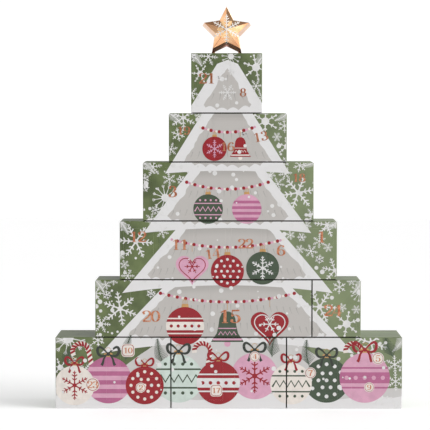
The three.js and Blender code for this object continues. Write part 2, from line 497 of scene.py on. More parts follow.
tree_middle = -1.5
tree_foot = 77.0
tree_tip = 402.0
tier_height = 66.0
tier_reach = 146.0  # half the lowest tier's width at its foot
tier_step = 24.8  # how much each tier's foot is narrower than the one below
tier_waist = 0.62  # a tier's top against the next tier's foot
bough_droop = 13.0
scallop_width = 12.5
scallop_depth = 3.2
edge_snow = 13.5  # how wide snow lies along the tree's sides
bough_shade = 11.0  # how far a bough darkens the tier under it
hill_low = 24.0
hill_rise = 62.0
hill_reach = 122.0
ground_height = 15.0
snow_spacing = 15 * mm
snow_dot = 2.1
wear = 0.12


def paper_grain(place):
    """The fine unevenness of coated paper on board"""
    return place.noise(900, 3, 0.6) * 0.6 + place.noise(160, 2, 0.5) * 0.4


def moss(place, x):
    """The mottled green ground, with a painted sheen that pales it to the right of x"""
    mottle = place.noise(28, 4, 0.62).rise(0.3, 0.72)
    return (x.rise(5, 80) * painted_sheen_share).between(mottle.between(moss_dark, moss_light), painted_sheen_green)


def print_on_paper(shader, place, tone, matt=0.0):
    grain = paper_grain(place)
    feed(shader, base_color=tone, roughness=0.32 + 0.08 * grain + 0.3 * matt)
    feed(shader, normal=place.bump(grain, 0.12, 0.00004))


def tree_outline(reach, z, floor, least):
    """How far up its tier a place is, half the tree's width there, and the tiers below it.
    It works on numbers and on a material's values alike."""
    tier = (z - tree_foot + bough_droop * (reach / tier_reach) ** 2) / tier_height
    count = floor(tier)
    up = tier - count
    wide = tier_reach - tier_step * count
    half = wide * (1 - up) + tier_waist * (wide - tier_step) * up
    return up, least(least(half, 9 + (tree_tip - z) * 0.62), (tree_tip - z) * 2.6), tier


def tree_half_width(x, z):
    up, half, tier = tree_outline(abs(x - tree_middle), z, math.floor, min)
    return half if tier > 0 else 0.0


def picture_print():
    made, shader, place = finish_of("picture_print", coat_weight=0.12, coat_roughness=0.25)
    x = place.part("X") - tree_middle
    z = place.part("Z")
    reach = abs(x)
    wobble = place.noise(55, 2, 0.5) - 0.5

    up, half, tier = tree_outline(reach, z, Value.floor, Value.least)
    in_tree = (half - reach).above() * tier.rise(0.0, 0.002)

    scallop = abs((x * (math.pi / scallop_width)).maths("SINE")) * scallop_depth
    depth = 3.5 + 17 * (reach / half) ** 3 + scallop + wobble * 5
    on_bough = (depth - up * tier_height).above()
    on_edge = (edge_snow + wobble * 12 - (half - reach)).above()
    under_bough = (up * tier_height).rise(tier_height - bough_shade, tier_height)

    hill = hill_low + hill_rise * ((reach / hill_reach) ** 4 * -1).maths("EXPONENT") + wobble * 3
    ground = ground_height + 3.6 * (x / 31).maths("SINE") + 1.8 * (x / 11.7 + 1).maths("SINE")

    # the green ground, with its painted sheen towards the right
    tone = moss(place, x)
    tone = (hill - z).above().between(tone, hill_grey)
    tone = in_tree.between(tone, wall_grey)
    tone = (in_tree * under_bough * 0.8).between(tone, shade_grey)
    tone = (in_tree * on_bough.most(on_edge)).between(tone, snow)
    tone = (ground - z).above().between(tone, snow)
    print_on_paper(shader, place, tone)
    return made


def wrap_print(name, snowing, matt):
    """The green of the wrap with its falling snow and a painted sheen towards the right, paler also where
    handling has rubbed it
    """
    made, shader, place = finish_of(name, specular_ior_level=0.5 - 0.3 * matt)
    tone = moss(place, place.part("X"))
    cells = {"Vector": place, "Scale": 1 / snow_spacing, "Randomness": 0.9}
    dots = snow_dot - place.node("ShaderNodeTexVoronoi", {}, cells) * snow_spacing / mm
    tone = (dots.above(0.12) * snowing).between(tone, snow)
    rubbed = place.noise(140, 4, 0.65).rise(0.5, 0.8) * wear
    print_on_paper(shader, place, rubbed.between(tone, colour(205, 205, 192)), matt)
    return made


def turned_in_paper():
    """Painted shade for the seams between two cartons: near-black matt paper on the rounded edges where they
    meet
    """
    made, shader, place = finish_of("turned_in_paper", roughness=0.95, specular_ior_level=0.05)
    feed(shader, base_color=place.noise(300, 2, 0.5).between(colour(24, 24, 20), colour(40, 40, 33)))
    return made


def white_lining():
    """Uncoated white paper over board: matt, with a faint fibre"""
    made, shader, place = finish_of("white_lining", roughness=0.85)
    fibre = place.drawn_out(0.25).noise(1400, 3, 0.7)
    tone = place.noise(60, 3, 0.6) * 0.5 + fibre * 0.5
    feed(shader, base_color=tone.shades((221, 218, 209), (237, 235, 228)))
    feed(shader, normal=place.bump(fibre, 0.25, 0.00005))
    return made


picture = picture_print()
card_finish = [
    wrap_print("green_wrap", snowing=1.0, matt=0.0),
    turned_in_paper(),
    white_lining(),
    picture,
    wrap_print("green_lid", snowing=0.0, matt=0.4),
]
for board in [*cartons.values(), *doors.values()]:
    for slot, finish in enumerate(card_finish):
        board.data.materials[slot] = finish
for sheet in sheets:
    sheet.data.materials.append(picture)
for painted_shade_sheet in painted_shade_sheets:
    # the sheets between the rows take the same painted seam shade
    painted_shade_sheet.data.materials.append(card_finish[seam_shade_slot])


# The picture's flat inks
# Printed over the sheets in flat colours: garlands and ornaments on the tree, a heap of
# patterned baubles in the snow, and snowflakes. Each ink lies on the one under it.
ink_step = 0.02 * mm
ink_bite = 0.02 * mm  # how far an ink's solid reaches back into the sheet
front = wall_front - paper

flat_inks = {
    "crimson": colour(149, 4, 24),
    "dark_green": colour(62, 78, 58),
    "pink": colour(213, 160, 184),
    "magenta": colour(178, 98, 138),
    "mint": colour(203, 216, 208),
    "cream": colour(230, 222, 214),
    "ribbon": colour(44, 50, 42),
    "snow": colour(222, 221, 220),
    "pale": colour(200, 198, 195),
    "needle": colour(170, 167, 163),
    "gold": colour(196, 150, 92),
}
same_ink_step = 0.1  # of a layer, where an ink crosses itself
stamps = []


def top_layer(left, right, bottom, top, ink=None):
    """The layer on which a shape lies over every other that it may touch"""
    layer = 1.0
    for points, faces, other, below, (first, last, foot, head) in stamps:
        if first < right and last > left and foot < top and head > bottom:
            layer = max(layer, below + (same_ink_step if other == ink else 1.0))
    return layer


def stamp(points, ink, faces=None):
    """A flat shape in one ink, over those stamped before: points as (x, z) in millimetres"""
    xs, zs = zip(*points)
    bounds = min(xs), max(xs), min(zs), max(zs)
    stamps.append((points, faces or [tuple(range(len(points)))], ink, top_layer(*bounds, ink), bounds))


def arc(x, z, across, up, start, end, steps):
    """Points on an ellipse from one angle to another, in degrees"""
    turns = [math.radians(start + (end - start) * i / steps) for i in range(steps + 1)]
    return [(x + across * math.cos(turn), z + up * math.sin(turn)) for turn in turns]


def disc(x, z, radius, steps=40):
    return arc(x, z, radius, radius, 0, 360 * (steps - 1) / steps, steps - 1)


def moved(points, x=0, z=0, turn=0, size=1):
    cosine, sine = math.cos(math.radians(turn)), math.sin(math.radians(turn))
    return [(x + size * (a * cosine - b * sine), z + size * (a * sine + b * cosine)) for a, b in points]


def ribbon(path, width):
    """The sides of a line along a path, and the faces between them.
    The width is a number, or worked out from the share of the path's points passed."""
    last = len(path) - 1
    sides = []
    for i, (x, z) in enumerate(path):
        (ax, az), (bx, bz) = path[max(i - 1, 0)], path[min(i + 1, last)]
        length = math.hypot(bx - ax, bz - az)
        half = (width(i / last) if callable(width) else width) / 2
        across, up = -(bz - az) / length * half, (bx - ax) / length * half
        sides += [(x + across, z + up), (x - across, z - up)]
    return sides, [(2 * i, 2 * i + 1, 2 * i + 3, 2 * i + 2) for i in range(last)]


def stroke(path, width, ink):
    sides, faces = ribbon(path, width)
    stamp(sides, ink, faces)


flake_arms = {  # half an arm's outline, as (share of its length, half width)
    "feather": [(0.14, 0.045), (0.34, 0.04), (0.44, 0.17), (0.5, 0.15), (0.44, 0.036), (0.58, 0.036),
                (0.7, 0.2), (0.76, 0.18), (0.68, 0.034), (0.8, 0.034), (0.88, 0.12), (0.93, 0.1),
                (0.88, 0.03), (1.0, 0.03)],
    "tipped": [(0.26, 0.05), (0.5, 0.04), (0.62, 0.16), (0.68, 0.13), (0.62, 0.04), (0.84, 0.04),
               (0.9, 0.09), (1.0, 0.06)],
    "plain": [(0.12, 0.06), (0.5, 0.055), (0.66, 0.22), (0.75, 0.19), (0.66, 0.05), (1.0, 0.05)],
    "burst": [(0.3, 0.03), (0.74, 0.022), (0.94, 0.12), (0.98, 0.08), (0.82, 0.022), (1.0, 0.03)],
}


def snowflake(x, z, radius, kind, turn, ink):
    """Six or twelve equal arms, each with pairs of barbs, as one outline"""
    thicker = min(max(9 / radius, 1.0), 1.5)
    upper = [(away, side * thicker) for away, side in flake_arms[kind]]
    arm = [(away, -side) for away, side in upper] + upper[::-1]
    count = 12 if kind == "burst" else 6
    outline = []
    for i in range(count):
        outline += moved(arm, turn=360 / count * i)
    stamp(moved(outline, x, z, turn, radius), ink)
    if kind in ("burst", "tipped"):
        stamp(disc(x, z, radius * 0.3, 28), ink)


def band(x, z, radius, low, high, ink):
    """The part of a disc between two heights, as shares of its radius"""
    start, end = math.degrees(math.asin(low)), math.degrees(math.asin(high))
    right = arc(x, z, radius, radius, start, end, 8)
    left = arc(x, z, radius, radius, 180 - end, 180 - start, 8)
    stamp(right + left, ink)


def zigzag(x, z, half, height, teeth, ink):
    path = [(x - half + half * i / teeth, z + height * (i % 2 - 0.5)) for i in range(2 * teeth + 1)]
    stroke(path, height * 0.3, ink)


def bauble(x, z, radius, ground, accent, pattern):
    """A glass ball with a metal cap and a traditional pattern in a second ink"""
    cap = radius * 0.2
    collar = [(-1, 0.93), (1, 0.93), (0.85, 1.16), (-0.85, 1.16)]
    stamp([(x + cap * across, z + radius * up) for across, up in collar], "gold")
    stroke(arc(x, z + radius * 1.26, cap * 0.6, cap * 0.7, -90, 270, 16), 0.5, "gold")
    stamp(disc(x, z, radius, 56), ground)

    def dot(across, up, size, ink):
        stamp(disc(x + radius * across, z + radius * up, radius * size, 16), ink)

    def level_bands(levels, width):
        for level in levels:
            band(x, z, radius, level, level + width, accent)

    if pattern == "bands":
        level_bands((-0.22,), 0.44)
        level_bands((-0.43, 0.36), 0.07)
        for i in range(5):
            dot(0.36 * (i - 2), 0, 0.085, ground)
    elif pattern == "zigzag":
        zigzag(x, z, radius * 0.9, radius * 0.3, 5, accent)
        level_bands((-0.42, 0.35), 0.07)
        for side in (-1, 1):
            for i in range(4):
                dot(0.36 * (i - 1.5), side * 0.6, 0.07, accent)
    elif pattern == "flake":
        snowflake(x, z, radius * 0.74, "feather", 30, accent)
    elif pattern == "dots":
        for ring, count in ((0.0, 1), (0.36, 6), (0.72, 12)):
            for i in range(count):
                turn = math.tau * i / count
                dot(ring * math.cos(turn), ring * math.sin(turn), 0.085, accent)
    elif pattern == "stripes":
        level_bands((-0.76, -0.38, 0.0, 0.38), 0.19)


def heart(x, z, size, ground, accent):
    shape = []
    for i in range(48):
        turn = math.tau * i / 48
        rise = sum(share * math.cos(k * turn) for k, share in ((1, 13), (2, -5), (3, -2), (4, -1)))
        shape.append((math.sin(turn) ** 3, rise / 16))
    stamp(moved(shape, x, z, size=size), ground)
    edge = moved(shape, x, z, size=size * 0.8)
    stroke([*edge, edge[0], edge[1]], size * 0.05, accent)
    snowflake(x, z + size * 0.1, size * 0.46, "plain", 0, accent)


def bell(x, z, size, ground, accent):
    side = [(0.1, 0.95), (0.3, 0.84), (0.42, 0.58), (0.47, 0.2), (0.56, -0.2), (0.78, -0.52), (0.86, -0.66)]
    shape = side + [(-across, up) for across, up in reversed(side)]
    stamp(disc(x, z - size * 0.74, size * 0.17, 20), accent)
    stamp(moved(shape, x, z, size=size), ground)
    for up, half, width in ((-0.52, 0.76, 0.1), (0.06, 0.47, 0.05)):
        stroke([(x - size * half, z + size * up), (x + size * half, z + size * up)], size * width, accent)
    zigzag(x, z - size * 0.2, size * 0.46, size * 0.18, 4, accent)


def bow(x, z, size, ink):
    """Two loops, a knot and two tails of ribbon"""
    for side in (-1, 1):
        loop = []
        for i in range(25):
            turn = math.radians(-90 + 180 * i / 24)
            across, along = math.cos(turn), math.sin(turn)
            loop.append((x + side * size * across, z + size * across * (0.8 * along + 0.34)))
        stroke(loop, lambda share: size * (0.1 + 0.16 * math.sin(math.pi * share)), ink)
        tail = []
        for i in range(11):
            share = i / 10
            sway = 0.08 + 0.62 * share + 0.08 * math.sin(5 * share)
            tail.append((x + side * size * sway, z - size * 1.05 * share))
        stroke(tail, lambda share: size * (0.12 + 0.14 * share), ink)
    stamp(disc(x, z, size * 0.17, 20), ink)


def candy_cane(x, z, height, turn, ground, accent):
    """A hooked stick with slanting stripes"""
    hook = height * 0.17
    path = [(hook, height * 0.8 * i / 16) for i in range(16)] + arc(0, height * 0.8, hook, hook, 0, 200, 18)
    path = moved(path, x, z, turn)
    width = height * 0.1
    stroke(path, width, ground)
    for i in range(1, len(path) - 2, 2):
        (ax, az), (bx, bz) = path[i], path[i + 1]
        lean = math.degrees(math.atan2(bz - az, bx - ax))
        stripe = [(-0.35, 0.5), (0.15, 0.5), (0.65, -0.5), (0.15, -0.5)]
        stamp(moved(stripe, ax, az, lean, width), accent)


def sprig(x, z, length, turn, ink):
    """A fir twig: a stem with needles on both sides"""
    stem = [(length * i / 8, length * 0.06 * math.sin(math.pi * i / 8)) for i in range(9)]
    stroke(moved(stem, x, z, turn), 0.9, ink)
    needles = round(length / 1.7)
    for i in range(1, needles):
        along = i / needles
        reach = length * 0.24 * (1.15 - along)
        for side in (-1, 1):
            start = (length * along, length * 0.06 * math.sin(math.pi * along))
            end = (start[0] + reach, start[1] + side * reach)
            stroke(moved([start, end], x, z, turn), lambda share: 0.85 - 0.5 * share, ink)


# Where each number stands on its door: x and z of its middle and its height in millimetres,
# and how many degrees it leans
number_places = {
    1: (106.7, 199, 13, 0), 2: (-101.5, 24.4, 6, 0), 3: (-64.6, 251, 13, 0), 4: (30.2, 60.6, 6, 0),
    5: (172.2, 58.5, 7.5, 0), 6: (60.3, 183.4, 12, 0), 7: (94.3, 41.6, 7, 0), 8: (16.4, 364.8, 9.4, 0),
    9: (162.2, 25, 6, 0), 10: (-116.2, 67.6, 6.5, 0), 11: (-56, 190, 12, 0), 12: (-104.5, 199, 12, 0),
    13: (36.6, 314.2, 10.5, 12), 14: (-18.6, 179.6, 11, 8), 15: (1.5, 107.2, 15.5, 0),
    16: (-1.4, 302.7, 10, 0), 17: (-14.4, 21.2, 6, 0), 18: (80.6, 267, 9.5, 0),
    19: (-51.8, 321.1, 9.4, 0), 20: (-89.6, 107.2, 13, 0), 21: (-25, 380.9, 12, 0),
    22: (19.3, 191.1, 11, 0), 23: (-157.2, 27.8, 8, 0), 24: (119.9, 114, 13, 0),
}
tag_sizes = {23: 8.0, 10: 7.6, 2: 5.8, 17: 7.0, 4: 6.0, 7: 6.6, 5: 7.0, 9: 5.8}  # half widths
square_tags = (10, 17)

# Flakes and snowy twigs crowding the green, and faint flakes on the tree
weather = random.Random(24)
row_heights = {row: [corner.z / mm for corner in boxes[0]] for row, boxes in row_boxes.items()}
for row, (left, right) in row_ends.items():
    low, high = row_heights[row]
    for side, end in ((1, left / mm), (-1, right / mm)):
        turn = weather.uniform(-60, -20)
        sprig(end - side * 2, high + 1, weather.uniform(16, 22), turn if side > 0 else 180 - turn, "snow")
heap_half_width = 158
flakes = []
for radius, wanted in ((20, 6), (15, 8), (11, 14), (8, 20), (5.5, 26)):
    placed = 0
    for attempt in range(900):
        row = weather.choice(list(row_ends))
        x = weather.uniform(*row_ends[row]) / mm
        z = weather.uniform(*row_heights[row])
        edge = tree_half_width(x, z) if z > tree_foot else heap_half_width
        clear = all(math.hypot(x - a, z - b) > (radius + r) * 0.86 for a, b, r in flakes)
        if placed == wanted or abs(x - tree_middle) < edge + radius * 0.3 or not clear:
            continue
        placed += 1
        flakes.append((x, z, radius))
        kinds = ("feather", "feather", "tipped", "burst") if radius > 8 else ("plain", "feather")
        snowflake(x, z, radius, weather.choice(kinds), weather.uniform(0, 60), "snow")
for faint in range(60):
    x, z = weather.uniform(-120, 120), weather.uniform(90, 350)
    if abs(x) < tree_half_width(x, z) - 24 and 0.35 < (z - tree_foot) / tier_height % 1 < 0.75:
        snowflake(x, z, weather.uniform(4, 7), "plain", weather.uniform(0, 60), "pale")

# The tree: drooping boughs, and on each tier a string of beads with ornaments
bough_spacing = 7.5
bead_spacing = 3.1
for tier in range(5):
    for step, up in enumerate((0.3, 0.62)):
        level = tree_foot + (tier + up) * tier_height
        half = tree_half_width(tree_middle, level) - 19
        count = int(2 * half / bough_spacing)
        for i in range(count + 1):
            x = tree_middle - half + 2 * half * (i + 0.5 * step) / max(count, 1)
            if abs(x - tree_middle) > half:
                continue
            z = level - bough_droop * ((x - tree_middle) / tier_reach) ** 2
            lean = (x - tree_middle) / half
            curve = [(x + lean * 3.5 * share ** 1.5, z + 3 - 8 * share) for share in (0, 0.25, 0.5, 0.75, 1)]
            stroke(curve, lambda share: 1.3 - 1.1 * share, "needle")

# For each tier: how high its string hangs, how deep it sags, and the ornaments with their size
ornaments = [
    (0.86, 10, 22, [(bauble, "crimson", "cream", "bands"), (bell, "dark_green", "pink"),
                    (heart, "crimson", "snow")]),
    (0.8, 9, 19, [(heart, "pink", "crimson"), (bauble, "crimson", "snow", "dots"),
                  (bauble, "dark_green", "snow", "flake")]),
    (0.8, 8, 17, [(bauble, "dark_green", "pink", "zigzag"), (bauble, "pink", "magenta", "stripes")]),
    (0.76, 6, 14, [(bauble, "crimson", "pink", "flake"), (bell, "crimson", "cream")]),
]
for tier, (up, sag, size, hung) in enumerate(ornaments):
    level = tree_foot + (tier + up) * tier_height
    half = tree_half_width(tree_middle, level) - 8

    def swag(share):
        """Where the string hangs, from -1 at its left end to 1 at its right"""
        return tree_middle + half * share, level - sag * (1 - share * share)

    stroke([swag(i / 12 - 1) for i in range(25)], 0.5, "gold")
    beads = int(half / bead_spacing)
    for i in range(-beads, beads + 1):
        stamp(disc(*swag(i / beads), 1.5 if i % 3 else 2.0, 18), ("crimson", "pink", "cream")[i % 3])
    for i, (ornament, *look) in enumerate(hung):
        x, z = swag((i - (len(hung) - 1) / 2) * 1.9 / len(hung))
        middle = z - size * 1.45
        stroke([(x, z), (x, middle + size)], 0.5, "gold")
        ornament(x, middle, size, *look)
top_tier = tree_foot + 4 * tier_height
for away, up, radius, kind in ((0, 0.36, 10, "feather"), (-9, 0.62, 4, "plain"), (5, 0.72, 4.5, "plain")):
    snowflake(tree_middle + away, top_tier + up * tier_height, radius, kind, 0, "snow")

# The heap in the snow: canes and twigs at the back, then every second bauble, then the rest
twigs = (-190, 50, 60), (-119, 56, 78), (-75, 52, 104), (50, 60, 80), (93, 50, 96), (190, 60, 110)
for x, z, turn in twigs:
    sprig(x, z, 30, turn, "dark_green")
for x, turn in ((-162, 12), (-38, -10), (138, -8)):
    candy_cane(x, 24, 54, turn, "cream", "crimson")
heap = [
    (-178, 27, 23, "cream", "crimson", "flake"), (-139, 33, 27, "magenta", "pink", "stripes"),
    (-97, 27, 22, "crimson", "cream", "dots"), (-58, 35, 28, "mint", "dark_green", "zigzag"),
    (-12, 30, 25, "crimson", "snow", "bands"), (30, 38, 27, "pink", "crimson", "flake"),
    (72, 29, 24, "cream", "dark_green", "zigzag"), (113, 33, 26, "dark_green", "snow", "dots"),
    (157, 36, 29, "pink", "magenta", "bands"),
]
for first in (1, 0):
    for x, z, radius, ground, accent, pattern in heap[first::2]:
        bauble(x, z, radius, ground, accent, pattern)
        bow(x, z + radius * 1.12, radius * 0.46, "ribbon" if first else "crimson")
for number, size in tag_sizes.items():
    x, z = number_places[number][:2]
    for reach, ink in ((size, "cream"), (size * 0.88, "crimson"), (size * 0.8, "cream")):
        corner = reach * (0.55 if number in square_tags else 1.0)
        outline = []
        for quarter, (across, up) in enumerate(((1, 1), (-1, 1), (-1, -1), (1, -1))):
            centre = (x + across * (reach - corner), z + up * (reach - corner))
            outline += arc(*centre, corner, corner, 90 * quarter, 90 * quarter + 90, 8)
        stamp(outline, ink)

# Snow falling over everything but the numbers, within the steps' slope
falling_dots = 380
for fall in range(falling_dots):
    x, z = weather.uniform(-198, 198), weather.uniform(16, 408)
    radius = weather.choice((0.9, 1.4, 1.9, 2.3, 2.7))
    hides = any(
        abs(x - a) <= height + radius and abs(z - b) <= 0.6 * height + radius
        for a, b, height, lean in number_places.values()
    )
    if abs(x) < 205 - 0.4 * (z - 40) and not hides:
        stamp(disc(x, z, radius, 18), "snow")


def ink_finish(name, tint):
    """Offset ink on coated paper: satin, very slightly uneven"""
    made, shader, place = finish_of("ink_" + name, coat_weight=0.1, coat_roughness=0.25)
    deep = (*(part * 0.86 for part in tint[:3]), 1.0)
    feed(shader, base_color=place.noise(120, 4, 0.6).rise(0.25, 0.75).between(deep, tint))
    feed(shader, roughness=0.32 + 0.08 * paper_grain(place))
    return made


inks = {name: ink_finish(name, tint) for name, tint in flat_inks.items()}


def window(low, high, grow, grow_left):
    """A box's left, right, lower and upper side seen from the front, moved outwards"""
    return low.x - grow_left, high.x + grow, low.z - grow, high.z + grow


def sides_of(left, right, bottom, top):
    """The planes round a window: a place on each, and the way out"""
    upright = [((left, 0, 0), (-1, 0, 0)), ((right, 0, 0), (1, 0, 0))]
    return upright + [((0, 0, bottom), (0, 0, -1)), ((0, 0, top), (0, 0, 1))]


def printed(name, area, holes, creases, body):
    """The part of the inks that lies in an area of the front, outside its holes"""
    left, right, bottom, top = area
    used = []
    shape = bmesh.new()
    for points, faces, ink, layer, (first, last, foot, head) in stamps:
        if last * mm < left or first * mm > right or head * mm < bottom or foot * mm > top:
            continue
        if ink not in used:
            used.append(ink)
        y = front - ink_step * layer
        corners = [shape.verts.new((x * mm, y, z * mm)) for x, z in points]
        for face in faces:
            made = shape.faces.new([corners[i] for i in face])
            made.material_index = used.index(ink)
            made.normal_update()
            if made.normal.y > 0:
                made.normal_flip()
    if not used:
        shape.free()
        return
    bmesh.ops.triangulate(shape, faces=[face for face in shape.faces if len(face.verts) > 4])
    for place, away in sides_of(*area):
        split(shape, place, away, exact=1e-8, drop=True)
    for hole in holes:
        for place, away in sides_of(*hole):
            split(shape, place, away)
        left, right, bottom, top = hole
        gone = []
        for face in shape.faces:
            middle = face.calc_center_median()
            if left < middle.x < right and bottom < middle.z < top:
                gone.append(face)
        bmesh.ops.delete(shape, geom=gone, context="FACES")
    score_creases(shape, creases)
    piece = new_piece(name, mesh_of(shape, name))
    for ink in used:
        piece.data.materials.append(inks[ink])
    front_corners = len(piece.data.vertices)
    give_thickness(piece, ink_step, -1)
    for vertex in piece.data.vertices[front_corners:]:
        vertex.co.y = front + ink_bite
    press_creases(piece, creases)
    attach(piece, body)


for node in carton_nodes:
    area = window(*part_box(node), -edge_round, -edge_round)
    holes = [window(*box, door_cut, crease_gap) for box in doors_in(node)]
    creases = [crease(*box, door_cut) for box in doors_in(node)]
    printed(node + "_inks", area, holes, creases, "tower")
for number, box in door_boxes.items():
    area = window(*box, door_paper_reach, 0)
    creases = [crease(*box, door_paper_reach)]
    printed(f"door_{number}_inks", area, [], creases, f"door_{number}")


# Numbers
# Each door's number is hot-stamped in copper foil, in upright figures with thick stems and
# fine hairlines. On the bottom row the numbers stand on pale tags.
hairline = 0.045
bar = 0.12
stem = 0.17
figure_depth = 0.1
figure_pitch = 0.62
figure_width = 1.28
foil_depth = 0.03 * mm

# For each figure, one unit tall: its pen strokes as paths, each with a fixed width or None for
# the pen's own, and its round ends as (x, z, radius)
pen_strokes = {
    "0": [(arc(0, 0.5, 0.25, 0.47, 0, 360, 48), None)],
    "1": [([(0.02, 0.0), (0.02, 0.98)], stem), ([(-0.2, 0.8), (0.02, 0.96)], 0.06),
          ([(-0.16, 0.02), (0.2, 0.02)], hairline)],
    "2": [(arc(0, 0.73, 0.24, 0.25, 170, -25, 26) + [(0.1, 0.43), (-0.1, 0.24), (-0.24, 0.05)], None),
          ([(-0.25, 0.06), (0.27, 0.06)], bar), ([(0.26, 0.02), (0.29, 0.24)], hairline)],
    "3": [(arc(-0.02, 0.75, 0.2, 0.23, 150, -90, 26), None),
          (arc(-0.02, 0.27, 0.25, 0.25, 90, -150, 28), None)],
    "4": [([(0.1, 0.98), (-0.3, 0.28)], hairline), ([(-0.3, 0.28), (0.3, 0.28)], hairline),
          ([(0.12, 0.0), (0.12, 0.98)], stem), ([(-0.02, 0.02), (0.26, 0.02)], hairline)],
    "5": [([(-0.2, 0.92), (0.24, 0.94)], bar), ([(-0.18, 0.94), (-0.2, 0.5)], hairline),
          (arc(-0.02, 0.31, 0.25, 0.29, 140, -150, 36), None)],
    "6": [(arc(0, 0.29, 0.24, 0.27, 0, 360, 40), None), (arc(0.06, 0.45, 0.3, 0.52, 65, 200, 26), None)],
    "7": [([(-0.24, 0.92), (0.27, 0.92)], bar), ([(-0.24, 0.96), (-0.25, 0.74)], hairline),
          ([(0.25, 0.9), (0.1, 0.6), (0.0, 0.3), (-0.03, 0.0)], None)],
    "8": [(arc(0, 0.75, 0.18, 0.22, 0, 360, 36), None), (arc(0, 0.27, 0.23, 0.25, 0, 360, 40), None)],
}
round_ends = {
    "2": [(-0.18, 0.74, 0.085)], "3": [(-0.16, 0.82, 0.08), (-0.2, 0.2, 0.085)],
    "5": [(-0.2, 0.2, 0.085)], "6": [(0.16, 0.86, 0.08)],
}
pen_strokes["9"] = [([(-x, 0.98 - z) for x, z in path], width) for path, width in pen_strokes["6"]]
round_ends["9"] = [(-x, 0.98 - z, radius) for x, z, radius in round_ends["6"]]


def pen_width(path, i):
    """A broad pen held level: as wide as a stem on upright strokes, a hairline on level ones"""
    (ax, az), (bx, bz) = path[max(i - 1, 0)], path[min(i + 1, len(path) - 1)]
    upright = abs(bz - az) / math.hypot(bx - ax, bz - az)
    return hairline + (stem - hairline) * upright ** 1.6


def solid_shape(points, faces):
    """One flat shape as a closed solid that others can be joined to"""
    shape = bmesh.new()
    corners = [shape.verts.new((x, 0, z)) for x, z in points]
    for face in faces:
        shape.faces.new([corners[i] for i in face])
    bmesh.ops.remove_doubles(shape, verts=shape.verts[:], dist=1e-5)
    bmesh.ops.recalc_face_normals(shape, faces=shape.faces[:])
    piece = new_piece("figure", mesh_of(shape, "figure"))
    give_thickness(piece, figure_depth, 0)
    return piece


def pen_stroke(path, width):
    """A stroke's sides and faces; one that ends where it started is closed smoothly"""
    closed = math.dist(path[0], path[-1]) < 1e-6
    if closed:
        path = [path[-2], *path, path[1]]
    last = len(path) - 1
    sides, faces = ribbon(path, width or (lambda share: pen_width(path, round(share * last))))
    if closed:
        sides, faces = sides[2:-2], faces[:-2]
    return sides, faces


def join_solids(first, others):
    for other in others:
        pick(first)
        union = first.modifiers.new("union", "BOOLEAN")
        union.operation = "UNION"
        union.object = other
        bpy.ops.object.modifier_apply(modifier=union.name)
        bpy.data.objects.remove(other)


figures = {}
for digit, strokes in pen_strokes.items():
    solids = [solid_shape(*pen_stroke(path, width)) for path, width in strokes]
    for x, z, radius in round_ends.get(digit, []):
        solids.append(solid_shape(disc(x, z, radius, 24), [tuple(range(24))]))
    join_solids(solids[0], solids[1:])
    figures[digit] = solids[0].data
    bpy.data.objects.remove(solids[0])

foil, foil_shader, place = finish_of("copper_foil", metallic=1.0)
feed(foil_shader, base_color=place.noise(260, 3, 0.6).shades((176, 104, 76), (222, 156, 122)))
feed(foil_shader, roughness=0.24 + 0.12 * place.noise(1200, 2, 0.5))

for number, (x, z, height, lean) in number_places.items():
    digits = str(number)
    half = 0.45 * height * len(digits)
    rise = ink_step * top_layer(x - half, x + half, z - height / 2, z + height / 2) + foil_depth
    shape = bmesh.new()
    for i, digit in enumerate(digits):
        step = figure_pitch * (i - (len(digits) - 1) / 2)
        glyph = figures[digit].copy()
        glyph.transform(Matrix.Translation((step, 0, -0.5)))
        shape.from_mesh(glyph)
        bpy.data.meshes.remove(glyph)
    mesh = mesh_of(shape, f"door_{number}_number")
    size = height * mm
    mesh.transform(Matrix.Diagonal((size * figure_width, (rise + ink_bite) / figure_depth, size, 1)))
    mesh.transform(Matrix.Rotation(math.radians(-lean), 4, "Y"))
    mesh.transform(Matrix.Translation((x * mm, front - (rise - ink_bite) / 2, z * mm)))
    mesh.materials.append(foil)
    piece = new_piece(f"door_{number}_number", mesh)
    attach(piece, f"door_{number}")


# Candles
# Fifteen tea lights in thin tin cups with a rolled rim, and nine votives poured in thick
# glasses. Each has its wax, poured below the rim, and a primed cotton wick.
tin_wall = 0.35 * mm
tin_bead = 0.45 * mm
flutes = 40
flute_depth = 0.004  # of the cup's radius
glass_wall = 1.8 * mm
glass_floor = 4.0 * mm
wax_below_rim = 3.0 * mm
wax_climb = 0.6 * mm
wax_bend = 1.5 * mm
wick_radius = 0.9 * mm
wick_height = 7.0 * mm
wick_rings = 22
wick_sides = 12
wick_lean = 0.5 * mm
turn_steps = 72
fluted_steps = 120


def turned(name, profile, steps=turn_steps):
    """A profile of (radius, height) in metres turned round the upright axis, closed at its poles"""
    shape = bmesh.new()
    line = [shape.verts.new((radius, 0, height)) for radius, height in profile]
    for a, b in zip(line, line[1:]):
        shape.edges.new((a, b))
    geometry = shape.verts[:] + shape.edges[:]
    bmesh.ops.spin(shape, geom=geometry, cent=(0, 0, 0), axis=(0, 0, 1), angle=math.tau, steps=steps)
    bmesh.ops.remove_doubles(shape, verts=shape.verts[:], dist=1e-6)
    bmesh.ops.recalc_face_normals(shape, faces=shape.faces[:])
    return mesh_of(shape, name)


